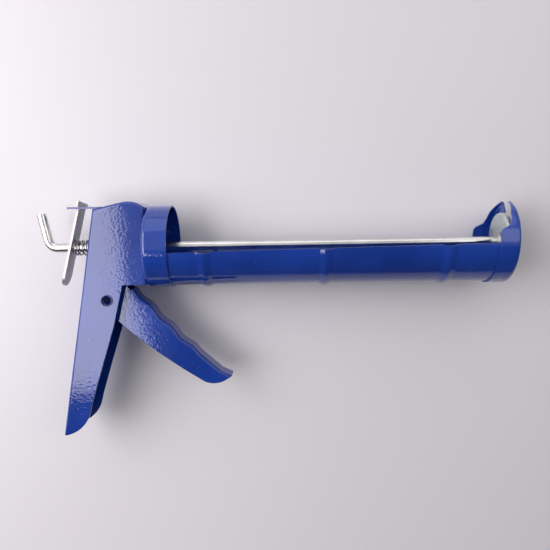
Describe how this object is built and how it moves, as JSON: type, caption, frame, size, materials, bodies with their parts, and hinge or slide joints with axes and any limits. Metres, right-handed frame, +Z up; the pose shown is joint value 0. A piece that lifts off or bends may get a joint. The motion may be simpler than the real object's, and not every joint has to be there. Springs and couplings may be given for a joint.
{
  "type": "cradle caulking gun",
  "caption": "Hand-squeezed cradle gun with a ribbed open trough, slotted nose, sliding push rod with piston, sprung trigger and thumb release plate.",
  "frame": {"origin": "on the push rod's axis, level with the rear cup's front rim", "axes": "+X along the rod to the nose, +Y to the gun's left side, +Z up, the handle hanging towards -Z"},
  "size_m": [0.3145, 0.0544, 0.1564],
  "materials": {
    "blue_paint": "glossy sprayed enamel with orange peel",
    "bright_zinc": "bright zinc plated, drawn smooth",
    "galvanised_sheet": "dull zinc plated sheet",
    "zinc_small_parts": "zinc plated",
    "rivet_steel": "painted over with the frame",
    "spring_steel": "drawn wire"
  },
  "bodies": {
    "frame": {"handle_frame": "blue_paint", "rear_cup": "blue_paint", "cup_rivets": "zinc_small_parts", "cradle": "blue_paint", "nose_cap": "blue_paint", "pivot_rivet": "rivet_steel", "pivot_bushes": "zinc_small_parts", "spring_seat": "zinc_small_parts", "drive_spring": "spring_steel", "release_spring": "spring_steel"},
    "piston": {"piston": "galvanised_sheet"},
    "rod": {"push_rod": "bright_zinc", "piston_washer": "zinc_small_parts", "piston_nut": "zinc_small_parts"},
    "trigger": {"trigger": "blue_paint"},
    "drive_plate": {"drive_plate": "zinc_small_parts"},
    "release_plate": {"release_plate": "galvanised_sheet"}
  },
  "joints": [
    {"name": "piston_slide", "type": "slide", "parent": "frame", "child": "piston", "axis": [1, 0, 0], "range_m": [-0.222, 0]},
    {"name": "rod_spin", "type": "hinge", "parent": "piston", "child": "rod", "pos_m": [0, 0, 0], "axis": [1, 0, 0], "continuous": true},
    {"name": "trigger_pull", "type": "hinge", "parent": "frame", "child": "trigger", "pos_m": [-0.0426, 0, -0.0342], "axis": [0, 1, 0], "range_deg": [0, 24], "stiffness_Nm_per_rad": 0.3, "springref_deg": -17.19},
    {"name": "drive_slide", "type": "slide", "parent": "frame", "child": "drive_plate", "axis": [1, 0, 0], "range_m": [0, 0.0112], "deforming": ["drive_spring"]},
    {"name": "release_tilt", "type": "hinge", "parent": "frame", "child": "release_plate", "pos_m": [-0.0606, 0, 0.026], "axis": [0, -1, 0], "range_deg": [0, 8], "stiffness_Nm_per_rad": 0.05, "springref_deg": -17.19, "deforming": ["release_spring"]}
  ],
  "couplings": [
    {"joint": "drive_slide", "follows": "trigger_pull", "m_per_rad": 0.026}
  ]
}
